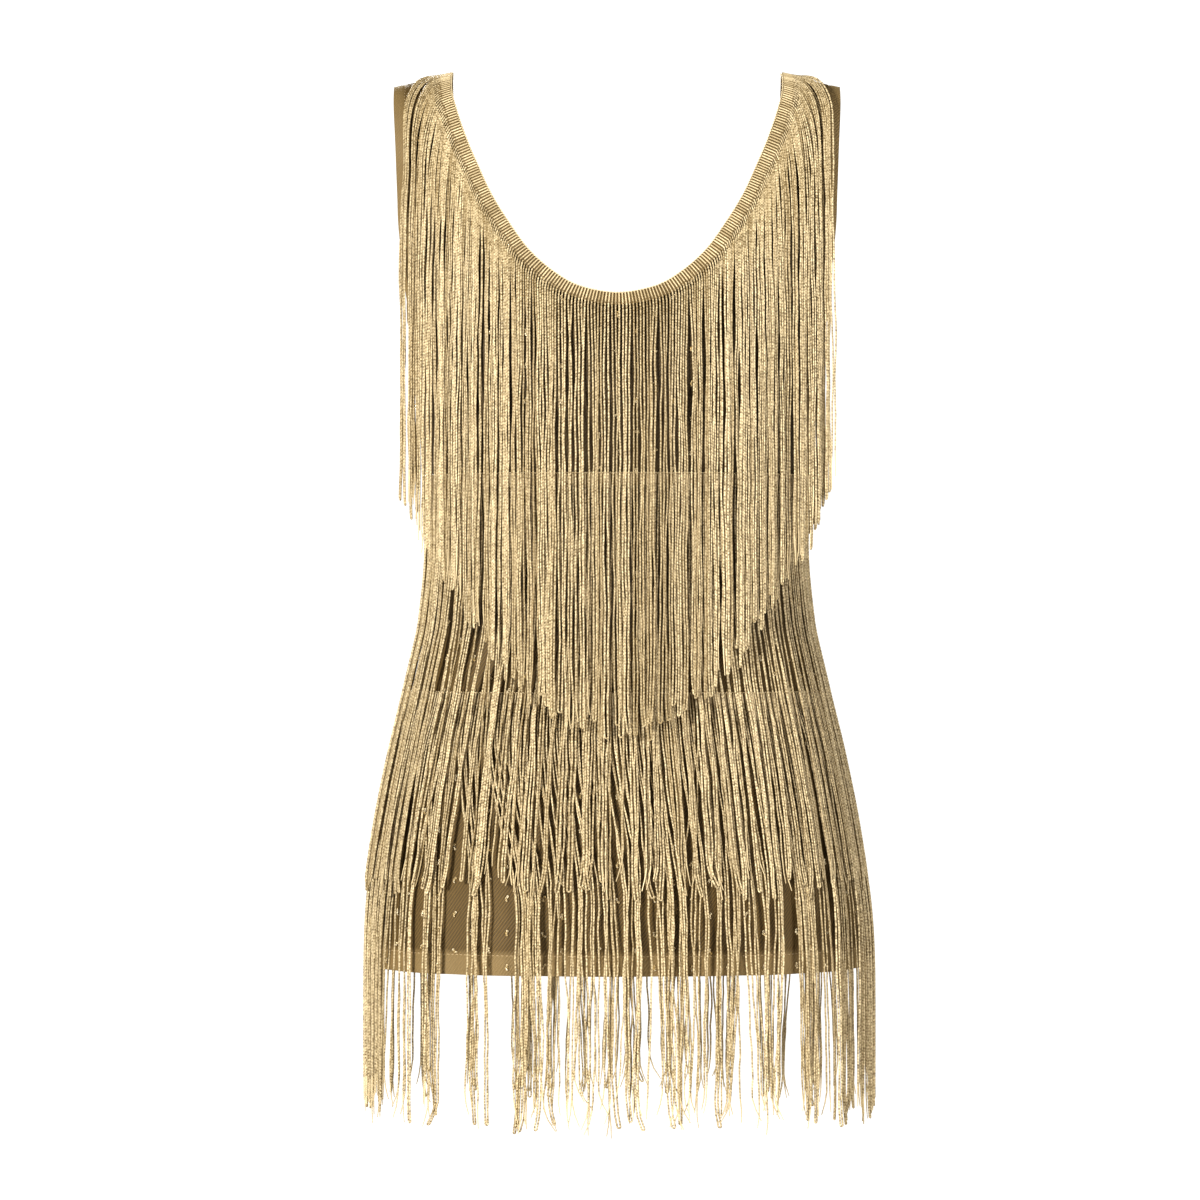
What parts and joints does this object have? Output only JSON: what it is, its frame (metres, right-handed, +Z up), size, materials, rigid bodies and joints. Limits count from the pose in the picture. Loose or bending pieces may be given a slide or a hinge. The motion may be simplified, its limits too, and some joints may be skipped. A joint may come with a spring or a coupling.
{
  "type": "sleeveless fringed flapper dress",
  "caption": "Hollow sleeveless short dress in its worn form, with a deep scooped neck and tiers of long fringe hanging from sewn tapes.",
  "frame": {"origin": "midway between the crests of the two shoulder straps, where the wearer's shoulders hold the dress", "axes": "+Z up, -Y to the front of the dress, +X to the right as seen from the front"},
  "size_m": [0.3619, 0.2411, 0.7501],
  "materials": {
    "knit": "matt fine knit",
    "fringe": "soft sheen"
  },
  "bodies": {
    "root": {"front_panel": "knit", "back_panel": "knit", "neck_fringe": "fringe", "waist_fringe": "fringe", "hip_fringe": "fringe"}
  },
  "joints": []
}
